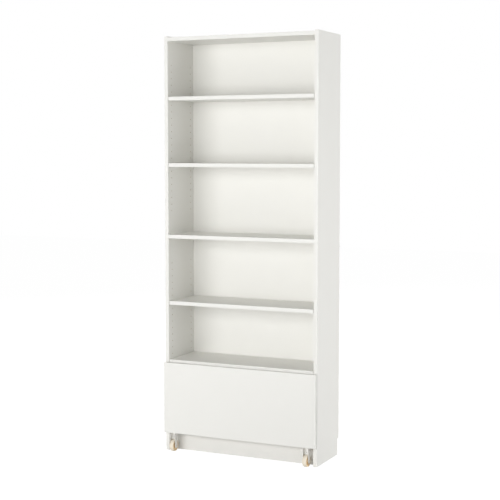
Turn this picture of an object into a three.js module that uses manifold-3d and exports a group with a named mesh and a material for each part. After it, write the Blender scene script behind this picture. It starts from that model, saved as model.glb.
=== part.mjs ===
// Bookcase of white foil-faced boards: five open compartments over one wide drawer.
// The drawer's front end is carried by two casters in the toe space, and its rear end
// slides on the bottom panel.
//
// Millimetres, +Z up. The front faces -Y. In this file y = 0 is the plane of the side
// panels' front edges and z = 0 the floor. The last group moves the whole so that the
// origin lies on the floor under the middle of its footprint.

import * as THREE from 'three';
import { mergeVertices } from 'three/addons/utils/BufferGeometryUtils.js';
import Module from 'manifold-3d';

const wasm = await Module();
wasm.setup();

// Case
const caseWidth = 800;
const caseHeight = 2020;
const caseDepth = 280;
const boardThickness = 18;
const topSetDown = 5;
const plinthHeight = 82;
const plinthThickness = 16;
const plinthSetback = 38;
const fixedShelfTop = 1064;
const skirtingHeight = 80;
const skirtingDepth = 15;

// Back panel, hardboard in grooves, scored where it folds for packing
const backThickness = 3;
const backInset = 17;
const backGrooveDepth = 8;
const backEdgeClearance = 0.9;
const scoreCount = 2;
const scoreWidth = 2.4;
const scoreDepth = 1.2;

// Rows of holes for the shelf pins, set back from the front and rear edges of the panels
const holePitch = 32;
const holeMargin = 112;
const holeDepth = 10;
const frontRowSetback = 35;
const rearRowSetback = 49;

// Adjustable shelves, each held by four pins in slots under its ends
const shelfThickness = 18;
const shelfEndGap = 2;
const shelfFrontSetback = 1;
const shelfRearGap = 2;
const lowerShelfShares = [0.32, 0.73];
const upperShelfShares = [0.32, 0.77];
const pinRadius = 2.5;
const pinInsertion = 9;
const pinReach = 8;
const pinCollarRadius = 4;
const pinCollarThickness = 1.2;
const pinAboveUnderside = 10;
const slotEndClearance = 1;

// Cam locks that pull the fixed boards to the side panels
const camRadius = 7.2;
const camHeight = 12;
const camEndDistance = 34;
const camSlotLength = 9;
const camSlotWidth = 1.8;
const camSlotDepth = 2;

// Drawer
const frontThickness = 16;
const frontClosingGap = 4;
const frontTopOverlap = 5;
const frontBottomOverlap = 9;
const boxBoardThickness = 12;
const boxSideClearance = 3;
const boxLift = 2;
const boxHeight = 240;
const boxRearGap = 10;
const boxBottomThickness = 3;
const boxBottomRaise = 8;
const boxGrooveDepth = 6;
const glideRadius = 5.5;
const glideRearDistance = 25;
const glideRunningGap = 0.2;
const glideEdgeChamfer = 0.6;

// Casters, screwed behind the drawer front so that the wheels stand under it
const casterInset = 48;
const axleBehindFace = 12;
const wheelRadius = 28.5;
const wheelWidth = 20;
const tyreThickness = 4.5;
const tyreCrown = 2.2;
const rimThickness = 3.2;
const hubWebRecess = 4;
const hubDraft = 1;
const bossRadius = 8;
const bossEndGap = 0.5;
const forkSideClearance = 2;
const steelThickness = 2;
const legTopGap = 2.5;
const legFrontReach = 16;
const legEndRadius = 13;
const webWheelClearance = 1.5;
const plateHeightBehindFront = 18;
const plateCornerCut = 3;
const webHoleRadius = 3.2;
const webHoleAboveEdge = 11;
const axleRadius = 3;
const axleHeadRadius = 5;
const axleHeadHeight = 1.5;
const axleHeadBevel = 0.7;
const screwRadius = 1.6;
const screwDepth = 12;
const screwHeadRadius = 3.6;
const screwHeadHeight = 2.2;
const screwHeadBevel = 0.9;
const screwSpacing = 16;
const screwAboveFrontEdge = 10;

// Clearance between a piece and the seat, groove or hole that holds it, and the length
// by which a cutting tool runs past the face that it cuts
const fitGap = 0.3;
const overrun = 1;

// Number of sides of round forms
const holeSides = 8;
const camSides = 12;
const screwSides = 12;
const axleSides = 12;
const wheelSides = 24;
const crownSteps = 8;
const legArcSteps = 10;

// Planes that several pieces share
const sideInner = caseWidth / 2 - boardThickness;
const topTop = caseHeight - topSetDown;
const topUnder = topTop - boardThickness;
const bottomTop = plinthHeight + boardThickness;
const fixedShelfUnder = fixedShelfTop - boardThickness;
const backRear = caseDepth - backInset;
const backFront = backRear - backThickness;
const grooveFront = backFront - fitGap;
const grooveRear = backRear + fitGap;
const rearRow = caseDepth - rearRowSetback;
const frontBack = -frontClosingGap;
const frontFace = frontBack - frontThickness;
const frontBottom = bottomTop - frontBottomOverlap;
const axleY = frontFace + axleBehindFace;
const axleZ = wheelRadius;
const casterX = caseWidth / 2 - casterInset;
const wheelFront = axleY - wheelRadius;
const footprintMiddle = (caseDepth + Math.min(wheelFront, frontFace)) / 2;

// Finishes
const finish = (color, roughness, metalness = 0) =>
  new THREE.MeshStandardMaterial({ color, roughness, metalness });
const whiteFoil = finish('#eceae4', 0.45);
const hardboard = finish('#ebe9e2', 0.6);
const zincSteel = finish('#c4c4bd', 0.4, 0.8);
const camZinc = finish('#b3b3ae', 0.5, 0.8);
const pinSteel = finish('#c9c9c4', 0.35, 0.9);
const creamTyre = finish('#ecdcc4', 0.6);
const tanHub = finish('#b98f5e', 0.5);
const whiteGlide = finish('#dcdcd6', 0.5);

// A closed box from its limits. Each corner takes the limits as they are, so two boxes
// that share a limit share that face exactly.
function block([x0, x1], [y0, y1], [z0, z1]) {
  const geometry = new THREE.BoxGeometry(1, 1, 1);
  const corner = geometry.attributes.position;
  for (let i = 0; i < corner.count; i++) {
    corner.setXYZ(
      i,
      corner.getX(i) < 0 ? x0 : x1,
      corner.getY(i) < 0 ? y0 : y1,
      corner.getZ(i) < 0 ? z0 : z1,
    );
  }
  return geometry;
}

// A turned form along +X. The profile is a list of [radius, place along the axis].
function turned(profile, sides) {
  const points = profile.map(([radius, along]) => new THREE.Vector2(radius, along));
  return new THREE.LatheGeometry(points, sides).rotateZ(-Math.PI / 2);
}

// A rod along +X between two places, for cutting round holes.
function rod(radius, from, to, sides) {
  return turned([[0, from], [radius, from], [radius, to], [0, to]], sides);
}

// An outline in the Y-Z plane, pushed along +X from one place to another.
function plateAlongX(outline, from, to, curveSegments) {
  const depth = to - from;
  const geometry = new THREE.ExtrudeGeometry(outline, { depth, bevelEnabled: false, curveSegments });
  const axes = new THREE.Matrix4().makeBasis(
    new THREE.Vector3(0, 1, 0),
    new THREE.Vector3(0, 0, 1),
    new THREE.Vector3(1, 0, 0),
  );
  return geometry.applyMatrix4(axes).translate(from, 0, 0);
}

// A three.js geometry as a solid that can be cut and joined.
function solidOf(geometry) {
  const bare = new THREE.BufferGeometry();
  bare.setAttribute('position', geometry.attributes.position);
  bare.setIndex(geometry.index);
  const welded = mergeVertices(bare);
  const triangles = [];
  const corner = welded.index.array;
  for (let i = 0; i < corner.length; i += 3) {
    const [a, b, c] = [corner[i], corner[i + 1], corner[i + 2]];
    if (a !== b && b !== c && c !== a) triangles.push(a, b, c);
  }
  return new wasm.Manifold(new wasm.Mesh({
    numProp: 3,
    vertProperties: new Float32Array(welded.attributes.position.array),
    triVerts: new Uint32Array(triangles),
  }));
}

// The solid back as a three.js geometry.
function geometryOf(solid) {
  const { vertProperties, triVerts } = solid.getMesh();
  const geometry = new THREE.BufferGeometry();
  geometry.setAttribute('position', new THREE.BufferAttribute(vertProperties, 3));
  geometry.setIndex(new THREE.BufferAttribute(triVerts, 1));
  geometry.computeVertexNormals();
  return geometry;
}

// A body geometry less every geometry in the list of tools.
function cut(body, tools) {
  const solid = tools.reduce((rest, tool) => rest.subtract(solidOf(tool)), solidOf(body));
  return geometryOf(solid);
}

// Geometries joined into one body.
function join(parts) {
  return geometryOf(parts.map(solidOf).reduce((whole, part) => whole.add(part)));
}

function piece(name, geometry, material, [x, y, z] = [0, 0, 0]) {
  const mesh = new THREE.Mesh(geometry, material);
  mesh.name = name;
  mesh.position.set(x, y, z);
  return mesh;
}

// The two sides of the case, seen from the front: left is -X.
const sides = [['left', -1], ['right', 1]];
const across = (half) => [-half, half];
const mirrored = (sign, inner, outer) => [sign * inner, sign * outer].sort((a, b) => a - b);

// Heights of the pin holes between two fixed boards. The grid starts at the middle of
// the bottom panel's edge, where the panel's own fittings are.
function holeHeights(zoneBottom, zoneTop) {
  const gridStart = plinthHeight + boardThickness / 2;
  const first = Math.ceil((zoneBottom + holeMargin - gridStart) / holePitch);
  const last = Math.floor((zoneTop - holeMargin - gridStart) / holePitch);
  return Array.from({ length: last - first + 1 }, (_, i) => gridStart + (first + i) * holePitch);
}

const lowerHoles = holeHeights(bottomTop, fixedShelfUnder);
const upperHoles = holeHeights(fixedShelfTop, topUnder);
const holeAt = (heights, share) => heights[Math.round(share * (heights.length - 1))];
const shelfPinHeights = [
  ...lowerShelfShares.map((share) => holeAt(lowerHoles, share)),
  ...upperShelfShares.map((share) => holeAt(upperHoles, share)),
];
const shelfUnder = (pinHeight) => pinHeight - pinAboveUnderside;
const frontTop = shelfUnder(shelfPinHeights[0]) + frontTopOverlap;
const pinRows = [frontRowSetback, rearRow];

// Side panel: a full-height board with a skirting notch, a groove for the back panel
// and two rows of blind holes on the inside.
function sidePanel(sign) {
  const board = block(mirrored(sign, sideInner, caseWidth / 2), [0, caseDepth], [0, caseHeight]);
  const notch = block(
    mirrored(sign, sideInner - overrun, caseWidth / 2 + overrun),
    [caseDepth - skirtingDepth, caseDepth + overrun],
    [-overrun, skirtingHeight],
  );
  const groove = block(
    mirrored(sign, sideInner - overrun, sideInner + backGrooveDepth),
    [grooveFront, grooveRear],
    [plinthHeight - fitGap, caseHeight + overrun],
  );
  const [holeFrom, holeTo] = mirrored(sign, sideInner - overrun, sideInner + holeDepth);
  const holes = [...lowerHoles, ...upperHoles].flatMap((z) => pinRows.map(
    (y) => rod(pinRadius + fitGap, holeFrom, holeTo, holeSides).translate(0, y, z),
  ));
  return cut(board, [notch, groove, ...holes]);
}

// Places of the four cam locks of a fixed board, from its front edge back.
function camPlaces(frontEdge) {
  const rows = [frontEdge + frontRowSetback, rearRow];
  return sides.flatMap(([, sign]) => rows.map((y) => [sign * (sideInner - camEndDistance), y]));
}

// Fixed board between the side panels, bored for its cam locks from above or below.
function fixedBoard(frontEdge, underside, camsFromAbove) {
  const top = underside + boardThickness;
  const board = block(across(sideInner), [frontEdge, grooveFront], [underside, top]);
  const bore = camHeight + fitGap;
  const [from, to] = camsFromAbove
    ? [top - bore, top + overrun]
    : [underside - overrun, underside + bore];
  const recesses = camPlaces(frontEdge).map(([x, y]) => rod(camRadius + fitGap, from, to, camSides)
    .rotateY(-Math.PI / 2).translate(x, y, 0));
  return cut(board, recesses);
}

// Cam lock: a zinc drum with a cross slot in its open face. It is made with that face at
// z = 0 and its body below, and is turned over where the board is bored from below.
function camLock(facesUp) {
  const drum = rod(camRadius, -camHeight, 0, camSides).rotateY(-Math.PI / 2);
  const half = camSlotWidth / 2;
  const long = camSlotLength / 2;
  const depth = [-camSlotDepth, overrun];
  const lock = cut(drum, [
    block(across(long), across(half), depth),
    block(across(half), across(long), depth),
  ]);
  return facesUp ? lock : lock.rotateX(Math.PI);
}

// Back panel: one hardboard sheet from the bottom panel up behind the top panel, scored
// across its rear face at even heights.
function backPanel() {
  const halfWidth = sideInner + backGrooveDepth - backEdgeClearance;
  const sheet = block(across(halfWidth), [backFront, backRear], [plinthHeight, topTop]);
  const scores = Array.from({ length: scoreCount }, (_, i) => {
    const z = plinthHeight + (topTop - plinthHeight) * (i + 1) / (scoreCount + 1);
    const slope = scoreWidth / 2 / scoreDepth;
    const mouth = slope * (scoreDepth + overrun);
    const vee = new THREE.Shape([
      new THREE.Vector2(backRear - scoreDepth, z),
      new THREE.Vector2(backRear + overrun, z - mouth),
      new THREE.Vector2(backRear + overrun, z + mouth),
    ]);
    return plateAlongX(vee, -halfWidth - overrun, halfWidth + overrun);
  });
  return cut(sheet, scores);
}

// Adjustable shelf: a board with a slot over each pin, open at the board's end.
function adjustableShelf(pinHeight) {
  const under = shelfUnder(pinHeight);
  const end = sideInner - shelfEndGap;
  const rear = backFront - shelfRearGap;
  const board = block(across(end), [shelfFrontSetback, rear], [under, under + shelfThickness]);
  const slotLength = pinReach - shelfEndGap + slotEndClearance;
  const halfSlot = pinRadius + fitGap;
  const slots = sides.flatMap(([, sign]) => pinRows.map((y) => block(
    mirrored(sign, end - slotLength, end + overrun),
    [y - halfSlot, y + halfSlot],
    [under - overrun, pinHeight + halfSlot],
  )));
  return cut(board, slots);
}

// Shelf pin: a steel peg with a thin collar that stops it at the panel's face. The
// collar lies in the gap at the shelf's end.
function shelfPin() {
  return turned([
    [0, -pinInsertion],
    [pinRadius, -pinInsertion],
    [pinRadius, 0],
    [pinCollarRadius, 0],
    [pinCollarRadius, pinCollarThickness],
    [pinRadius, pinCollarThickness],
    [pinRadius, pinReach],
    [0, pinReach],
  ], holeSides);
}

// Heights inside the drawer box
const boxBottomEdge = bottomTop + boxLift;
const boxTop = boxBottomEdge + boxHeight;
const boxGroove = [
  boxBottomEdge + boxBottomRaise,
  boxBottomEdge + boxBottomRaise + boxBottomThickness + 2 * fitGap,
];
const boxOuter = sideInner - boxSideClearance;
const boxInner = boxOuter - boxBoardThickness;
const boxRear = backFront - boxRearGap;
const boxBackFace = boxRear - boxBoardThickness;
const screwHeight = frontBottom + screwAboveFrontEdge;
const screwPlaces = sides.flatMap(([side, sign]) => across(screwSpacing / 2).map(
  (offset, i) => [`caster_screw_${side}_${i + 1}`, sign * casterX + offset],
));

// Drawer front: laid over the edges of the case, with a stopped groove for the drawer
// bottom and blind holes for the caster screws in its rear face.
function drawerFront() {
  const board = block(across(caseWidth / 2), [frontFace, frontBack], [frontBottom, frontTop]);
  const groove = block(
    across(boxInner + boxGrooveDepth),
    [frontBack - boxGrooveDepth, frontBack + overrun],
    boxGroove,
  );
  const pilots = screwPlaces.map(([, x]) => rod(
    screwRadius + fitGap, -screwDepth - fitGap, overrun, screwSides,
  ).rotateZ(Math.PI / 2).translate(x, frontBack, screwHeight));
  return cut(board, [groove, ...pilots]);
}

function drawerSide(sign) {
  const board = block(mirrored(sign, boxInner, boxOuter), [frontBack, boxRear], [boxBottomEdge, boxTop]);
  const groove = block(
    mirrored(sign, boxInner - overrun, boxInner + boxGrooveDepth),
    [frontBack - overrun, boxBackFace + boxGrooveDepth],
    boxGroove,
  );
  return cut(board, [groove]);
}

function drawerBack() {
  const board = block(across(boxInner), [boxBackFace, boxRear], [boxBottomEdge, boxTop]);
  const groove = block(
    across(boxInner + overrun),
    [boxBackFace - overrun, boxBackFace + boxGrooveDepth],
    boxGroove,
  );
  return cut(board, [groove]);
}

function drawerBottom() {
  const inGroove = boxGrooveDepth - fitGap;
  const bottom = boxGroove[0] + fitGap;
  return block(
    across(boxInner + inGroove),
    [frontBack - inGroove, boxBackFace + inGroove],
    [bottom, bottom + boxBottomThickness],
  );
}

// Glide: a low plastic disc under the rear of each drawer side.
function drawerGlide() {
  const height = boxLift - glideRunningGap;
  return turned([
    [0, -height],
    [glideRadius - glideEdgeChamfer, -height],
    [glideRadius, glideEdgeChamfer - height],
    [glideRadius, 0],
    [0, 0],
  ], camSides).rotateY(-Math.PI / 2);
}

// Caster bracket, pressed from one steel sheet: an upright plate behind the drawer
// front, and two legs bent forward from it that reach down to the axle. It is made with
// the wheel's middle plane at x = 0.
const forkInner = wheelWidth / 2 + forkSideClearance;
const forkOuter = forkInner + steelThickness;
const plateBack = frontBack + steelThickness;
const webBottom = axleZ + wheelRadius + webWheelClearance;
const legTop = frontBottom - legTopGap;
const plateTop = frontBottom + plateHeightBehindFront;

function bracketLeg(from, to) {
  const outline = new THREE.Shape();
  outline.moveTo(plateBack, legTop);
  outline.lineTo(axleY - legFrontReach, legTop);
  outline.lineTo(axleY - legEndRadius, axleZ);
  outline.absarc(axleY, axleZ, legEndRadius, Math.PI, 2 * Math.PI, false);
  outline.lineTo(plateBack, webBottom);
  return plateAlongX(outline, from, to, legArcSteps);
}

function casterBracket() {
  const web = block(across(forkOuter), [frontBack, plateBack], [webBottom, plateTop]);
  const body = join([web, bracketLeg(-forkOuter, -forkInner), bracketLeg(forkInner, forkOuter)]);
  const throughPlate = (radius, x, z) => rod(
    radius, -overrun - steelThickness, overrun + steelThickness, screwSides,
  ).rotateZ(Math.PI / 2).translate(x, plateBack, z);
  const corners = [-1, 1].map((sign) => {
    const x = sign * forkOuter;
    const size = plateCornerCut * Math.SQRT2 / 2;
    return block(across(size), [frontBack - overrun, plateBack + overrun], across(size))
      .rotateY(Math.PI / 4).translate(x, 0, plateTop);
  });
  return cut(body, [
    throughPlate(webHoleRadius, 0, webBottom + webHoleAboveEdge),
    ...across(screwSpacing / 2).map((x) => throughPlate(screwRadius + fitGap, x, screwHeight)),
    rod(axleRadius + fitGap, -forkOuter - overrun, forkOuter + overrun, axleSides)
      .translate(0, axleY, axleZ),
    ...corners,
  ]);
}

// Axle: a rivet through both legs, with a low bevelled head on each side.
function casterAxle() {
  const seat = forkOuter + fitGap;
  const end = seat + axleHeadHeight;
  const half = [
    [axleRadius, seat],
    [axleHeadRadius, seat],
    [axleHeadRadius, end - axleHeadBevel],
    [axleHeadRadius - axleHeadBevel, end],
    [0, end],
  ];
  const otherHalf = half.map(([radius, along]) => [radius, -along]).reverse();
  return turned([...otherHalf, ...half], axleSides);
}

const tyreInner = wheelRadius - tyreThickness;
const hubSeat = tyreInner - fitGap;

// Tyre: a ring with a crowned tread.
function casterTyre() {
  const half = wheelWidth / 2;
  const crown = Array.from({ length: crownSteps + 1 }, (_, i) => {
    const angle = Math.PI * (i / crownSteps - 1 / 2);
    return [wheelRadius - tyreCrown * (1 - Math.cos(angle)), half * Math.sin(angle)];
  });
  return turned([...crown, [tyreInner, half], [tyreInner, -half], crown[0]], wheelSides);
}

// Hub: a moulded wheel body with a thin web between its rim and a longer middle boss.
function casterHub() {
  const half = wheelWidth / 2;
  const bore = axleRadius + fitGap;
  const rimInner = hubSeat - rimThickness;
  const face = [
    [hubSeat, half],
    [rimInner, half],
    [rimInner - hubDraft, half - hubWebRecess],
    [bossRadius + hubDraft, half - hubWebRecess],
    [bossRadius, forkInner - bossEndGap],
    [bore, forkInner - bossEndGap],
  ];
  const otherFace = face.map(([radius, along]) => [radius, -along]).reverse();
  return turned([...face, ...otherFace, face[0]], wheelSides);
}

// Screw with a low round head, through the plate into the drawer front.
function casterScrew() {
  return turned([
    [0, -screwDepth],
    [screwRadius, -screwDepth],
    [screwRadius, steelThickness],
    [screwHeadRadius, steelThickness],
    [screwHeadRadius, steelThickness + screwHeadHeight - screwHeadBevel],
    [screwHeadRadius - screwHeadBevel, steelThickness + screwHeadHeight],
    [0, steelThickness + screwHeadHeight],
  ], screwSides).rotateZ(Math.PI / 2);
}

// The case with its shelves
function makeCase() {
  const group = new THREE.Group();
  for (const [side, sign] of sides) {
    group.add(piece(`side_panel_${side}`, sidePanel(sign), whiteFoil));
  }
  const fixedBoards = [
    ['top_panel', 0, topUnder, true],
    ['fixed_shelf', 0, fixedShelfUnder, false],
    ['bottom_panel', plinthSetback, plinthHeight, false],
  ];
  for (const [name, frontEdge, underside, camsFromAbove] of fixedBoards) {
    group.add(piece(name, fixedBoard(frontEdge, underside, camsFromAbove), whiteFoil));
    const camZ = camsFromAbove ? underside + boardThickness : underside;
    camPlaces(frontEdge).forEach(([x, y], i) => {
      group.add(piece(`cam_lock_${name}_${i + 1}`, camLock(camsFromAbove), camZinc, [x, y, camZ]));
    });
  }
  const plinth = block(
    across(sideInner),
    [plinthSetback, plinthSetback + plinthThickness],
    [0, plinthHeight],
  );
  group.add(piece('plinth', plinth, whiteFoil));
  group.add(piece('back_panel', backPanel(), hardboard));
  shelfPinHeights.forEach((pinHeight, i) => {
    const shelf = `adjustable_shelf_${i + 1}`;
    group.add(piece(shelf, adjustableShelf(pinHeight), whiteFoil));
    for (const [side, sign] of sides) {
      pinRows.forEach((y, row) => {
        const pin = piece(
          `shelf_pin_${i + 1}_${side}_${row === 0 ? 'front' : 'rear'}`,
          shelfPin(), pinSteel, [sign * sideInner, y, pinHeight],
        );
        if (sign > 0) pin.rotation.z = Math.PI;
        group.add(pin);
      });
    }
  });
  return group;
}

// The drawer with its casters
function makeDrawer() {
  const group = new THREE.Group();
  group.add(piece('drawer_front', drawerFront(), whiteFoil));
  group.add(piece('drawer_back', drawerBack(), whiteFoil));
  group.add(piece('drawer_bottom', drawerBottom(), hardboard));
  for (const [side, sign] of sides) {
    const glideX = sign * (boxInner + boxBoardThickness / 2);
    const glidePlace = [glideX, boxRear - glideRearDistance, boxBottomEdge];
    const casterPlace = [sign * casterX, 0, 0];
    const axlePlace = [sign * casterX, axleY, axleZ];
    group.add(piece(`drawer_side_${side}`, drawerSide(sign), whiteFoil));
    group.add(piece(`drawer_glide_${side}`, drawerGlide(), whiteGlide, glidePlace));
    group.add(piece(`caster_bracket_${side}`, casterBracket(), zincSteel, casterPlace));
    group.add(piece(`caster_axle_${side}`, casterAxle(), pinSteel, axlePlace));
    group.add(piece(`caster_hub_${side}`, casterHub(), tanHub, axlePlace));
    group.add(piece(`caster_tyre_${side}`, casterTyre(), creamTyre, axlePlace));
  }
  for (const [name, x] of screwPlaces) {
    group.add(piece(name, casterScrew(), pinSteel, [x, frontBack, screwHeight]));
  }
  return group;
}

const group = new THREE.Group();
group.add(makeCase(), makeDrawer());
group.position.y = -footprintMiddle;

export default group;
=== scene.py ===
# A white bookcase of foil-faced boards, with one wide drawer on two small casters.
# Metres, +Z up, the front faces -Y, the floor is at 0. Places and outer sizes come from
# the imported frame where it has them, and the others are named values.

import math

import bmesh
import bpy
from mathutils import Matrix, Vector


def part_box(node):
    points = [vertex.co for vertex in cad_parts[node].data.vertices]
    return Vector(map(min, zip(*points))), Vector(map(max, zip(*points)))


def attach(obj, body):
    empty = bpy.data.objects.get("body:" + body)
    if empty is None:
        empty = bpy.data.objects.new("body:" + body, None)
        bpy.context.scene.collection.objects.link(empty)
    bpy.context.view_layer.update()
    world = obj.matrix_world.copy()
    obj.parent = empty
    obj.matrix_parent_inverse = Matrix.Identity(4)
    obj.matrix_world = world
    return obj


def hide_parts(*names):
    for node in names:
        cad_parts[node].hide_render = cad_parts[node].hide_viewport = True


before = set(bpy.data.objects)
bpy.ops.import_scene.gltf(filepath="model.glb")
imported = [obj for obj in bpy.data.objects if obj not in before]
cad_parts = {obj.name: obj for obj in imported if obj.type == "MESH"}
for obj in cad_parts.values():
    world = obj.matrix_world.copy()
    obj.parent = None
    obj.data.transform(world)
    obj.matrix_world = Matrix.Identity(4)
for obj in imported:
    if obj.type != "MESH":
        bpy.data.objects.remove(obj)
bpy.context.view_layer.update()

# Side panels: particle board wrapped in smooth white foil. The chips of the core show at
# the rear edge, under the feet, in the groove for the back panel and in the pin holes.
# The pin holes are drilled on a fixed pitch, in two rows and two zones.


class Term:
    """A node's output that can stand in a sum. Each operator adds one Math node."""

    def __init__(self, nodes, socket):
        self.nodes, self.socket = nodes, socket

    def math(self, operation, *others):
        inputs = dict(enumerate((self, *others)))
        return self.nodes.node("ShaderNodeMath", {"operation": operation}, inputs)

    def __add__(self, other):
        return self.math("ADD", other)

    def __sub__(self, other):
        return self.math("SUBTRACT", other)

    def __rsub__(self, other):
        return self.nodes.node("ShaderNodeMath", {"operation": "SUBTRACT"}, {0: other, 1: self})

    def __mul__(self, other):
        return self.math("MULTIPLY", other)

    def __gt__(self, other):
        return self.math("GREATER_THAN", other)

    __radd__ = __add__
    __rmul__ = __mul__


class Nodes:
    """A node tree. A node is made by one call with its settings and its inputs."""

    def __init__(self, tree):
        self.tree = tree

    def node(self, kind, settings=None, inputs=None, output=0):
        made = self.tree.nodes.new(kind)
        for name, value in (settings or {}).items():
            setattr(made, name, value)
        for name, value in (inputs or {}).items():
            self.feed(made.inputs[name], value)
        return None if output is None else Term(self, made.outputs[output])

    def feed(self, socket, value):
        if isinstance(value, Term):
            self.tree.links.new(value.socket, socket)
        elif socket.type == "RGBA":
            socket.default_value = (*value, 1)
        else:
            socket.default_value = value


class Look(Nodes):
    """A material on a Principled shader, patterned by places in metres."""

    def __init__(self, name):
        self.material = bpy.data.materials.new(name)
        self.material.use_nodes = True
        super().__init__(self.material.node_tree)
        self.shader = self.tree.nodes["Principled BSDF"]
        self.place = self.node("ShaderNodeTexCoord", output="Object")

    def noise(self, size, detail=2.0):
        """Noise from 0 to 1 whose marks are about that size."""
        inputs = {"Vector": self.place, "Scale": 1 / size, "Detail": detail}
        return self.node("ShaderNodeTexNoise", {}, inputs)

    def cells(self, size, stretch=(1, 1, 1)):
        """Cells of about that size, each in a colour of its own, stretched along an axis."""
        place = self.node("ShaderNodeMapping", {}, {"Vector": self.place, "Scale": stretch})
        inputs = {"Vector": place, "Scale": 1 / size}
        return self.node("ShaderNodeTexVoronoi", {}, inputs, output="Color")

    def mix(self, share, one, other):
        """A colour between one and other."""
        inputs = {0: share, 6: one, 7: other}
        return self.node("ShaderNodeMix", {"data_type": "RGBA"}, inputs, output=2)

    def part_of(self, axis):
        """How far along an axis a point lies."""
        inputs = {"Vector": self.place}
        return self.node("ShaderNodeSeparateXYZ", {}, inputs, output=axis)

    def bump(self, height, depth, strength):
        inputs = {"Height": height, "Distance": depth, "Strength": strength}
        return self.node("ShaderNodeBump", {}, inputs)

    def wear(self, **sockets):
        """Sets the shader's sockets and returns the material."""
        for name, value in sockets.items():
            self.feed(self.shader.inputs[name.replace("_", " ")], value)
        return self.material


def foil_look(name, shade, deeper):
    """Smooth foil with faint clouds and the fine pebble of its print."""
    look = Look(name)
    cloud = look.noise(0.09, detail=3.0)
    pebble = look.noise(0.0009, detail=1.0)
    height = pebble * 0.5 + look.noise(0.02) * 0.8
    return look.wear(
        Base_Color=look.mix(cloud, deeper, shade),
        Roughness=0.36 + 0.1 * pebble + 0.05 * cloud,
        Normal=look.bump(height, depth=0.00002, strength=0.35),
    )


def core_look(name, painted_pale=0.0):
    """The chips of a particle board, mixed towards a pale tone by a share of painted light, which
    lightens the shade in the pin holes.
    """
    look = Look(name)
    chips = look.cells(0.0021, stretch=(1.0, 0.5, 0.5))
    tone = look.node("ShaderNodeSeparateColor", {}, {"Color": chips})
    slivers = look.node("ShaderNodeSeparateColor", {}, {"Color": look.cells(0.0009)})
    dust = look.noise(0.0006, detail=3.0)
    pale = look.mix(dust, (0.44, 0.32, 0.2), (0.64, 0.5, 0.35))
    chipped = look.mix(tone * tone * 0.55, pale, (0.34, 0.22, 0.12))
    chipped = look.mix((slivers > 0.8) * 0.4, chipped, (0.24, 0.15, 0.08))
    return look.wear(
        Base_Color=look.mix(painted_pale, chipped, (0.8, 0.76, 0.68)),
        Roughness=0.75 + 0.15 * dust,
        Normal=look.bump(tone * 0.6 + dust * 0.4, depth=0.00025, strength=0.7),
    )


WHITE = (0.856, 0.85, 0.814)
WHITE_DEEPER = (0.842, 0.836, 0.797)
white_foil = foil_look("white foil", WHITE, WHITE_DEEPER)
raw_core = core_look("particle board core")
# The walls of the pin holes get the core painted paler, which lightens the shade in the holes.
hole_core_painted_pale = core_look("drilled core", 0.6)


ROD_SIDES = 24


class Recipe(Nodes):
    """A Geometry Nodes tree with named inputs for its sizes."""

    KINDS = {float: "Float", int: "Int", tuple: "Vector", bpy.types.Material: "Material"}

    def __init__(self, name, sizes):
        super().__init__(bpy.data.node_groups.new(name, "GeometryNodeTree"))
        faces = self.tree.interface
        faces.new_socket("Geometry", in_out="INPUT", socket_type="NodeSocketGeometry")
        self.inputs = {}
        for label, value in sizes.items():
            kind = "NodeSocket" + self.KINDS[type(value)]
            made = faces.new_socket(label, in_out="INPUT", socket_type=kind)
            self.inputs[made.identifier] = value
        faces.new_socket("Geometry", in_out="OUTPUT", socket_type="NodeSocketGeometry")
        self.entry = self.tree.nodes.new("NodeGroupInput")
        self.exit = self.tree.nodes.new("NodeGroupOutput")

    def __getitem__(self, label):
        return Term(self, self.entry.outputs[label])

    def rod(self, radius, length, middle=(0, 0, 0), turn=(0, 0, 0), sides=ROD_SIDES):
        """A closed cylinder with its middle at a place, turned from +Z."""
        inputs = {"Vertices": sides, "Radius": radius, "Depth": length}
        rod = self.node("GeometryNodeMeshCylinder", {}, inputs)
        return self.moved(rod, middle, turn)

    def block(self, size, middle):
        block = self.node("GeometryNodeMeshCube", {}, {"Size": size})
        return self.moved(block, middle)

    def moved(self, shape, middle=(0, 0, 0), turn=(0, 0, 0)):
        inputs = {"Geometry": shape, "Translation": middle, "Rotation": turn}
        return self.node("GeometryNodeTransform", {}, inputs)

    def vector(self, x, y, z):
        return self.node("ShaderNodeCombineXYZ", {}, {0: x, 1: y, 2: z})

    def row(self, count, step):
        return self.node("GeometryNodeMeshLine", {}, {"Count": count, "Offset": step})

    def copies(self, points, shape):
        """A copy of the shape on each point, as real mesh."""
        inputs = {"Points": points, "Instance": shape}
        placed = self.node("GeometryNodeInstanceOnPoints", {}, inputs)
        return self.node("GeometryNodeRealizeInstances", {}, {0: placed})

    def boolean(self, operation, one, *others):
        """Closed forms joined, cut out of the first one, or cut down to what they share."""
        made = self.tree.nodes.new("GeometryNodeMeshBoolean")
        made.operation, made.solver = operation, "MANIFOLD"
        if operation == "DIFFERENCE":
            self.tree.links.new(one.socket, made.inputs["Mesh 1"])
        else:
            others = (one, *others)
        for other in others:
            self.tree.links.new(other.socket, made.inputs["Mesh 2"])
        return Term(self, made.outputs["Mesh"])

    def cross(self, length, width, depth, middle=(0, 0, 0)):
        """Two crossing blocks as one closed form."""
        one = self.block(self.vector(length, width, depth), middle)
        other = self.block(self.vector(width, length, depth), middle)
        return self.boolean("UNION", one, other)

    def finish(self, shape, material):
        """Ends the tree with real mesh in that material."""
        real = self.node("GeometryNodeRealizeInstances", {}, {0: shape})
        worn = self.node("GeometryNodeSetMaterial", {}, {"Geometry": real, "Material": material})
        self.tree.links.new(worn.socket, self.exit.inputs[0])

    def grow(self, piece):
        """Runs the tree on a piece and leaves the result as its plain mesh."""
        modifier = piece.modifiers.new(self.tree.name, "NODES")
        modifier.node_group = self.tree
        for identifier, value in self.inputs.items():
            modifier[identifier] = value
        settle_mesh(piece)


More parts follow.
